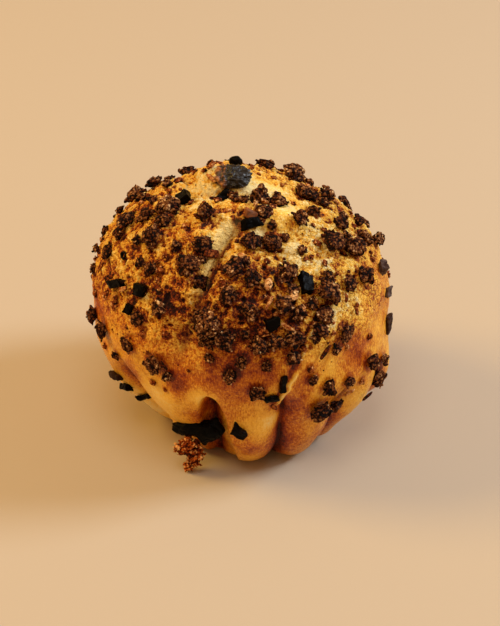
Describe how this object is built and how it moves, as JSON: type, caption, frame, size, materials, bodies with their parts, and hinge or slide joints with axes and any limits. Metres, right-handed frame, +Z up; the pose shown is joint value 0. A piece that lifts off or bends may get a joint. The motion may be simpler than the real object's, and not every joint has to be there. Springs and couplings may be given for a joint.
{
  "type": "chocolate chip brioche",
  "caption": "Round sweet bread bun baked in a fluted tin, domed with a torn crown, a lobed base and a crust of cocoa crumbs and chocolate chips.",
  "frame": {"origin": "middle of the flat spot that the bun rests on", "axes": "+Z up through the crown; the side with the hollow between two lobes faces -Y"},
  "size_m": [0.0885, 0.0909, 0.0805],
  "materials": {
    "crust": "satin",
    "chocolate": "satin",
    "burnt_crumb": "matte"
  },
  "bodies": {
    "root": {"brioche": "crust", "crown_chip": "chocolate", "melted_chocolate": "chocolate", "hanging_flake": "burnt_crumb"}
  },
  "joints": []
}
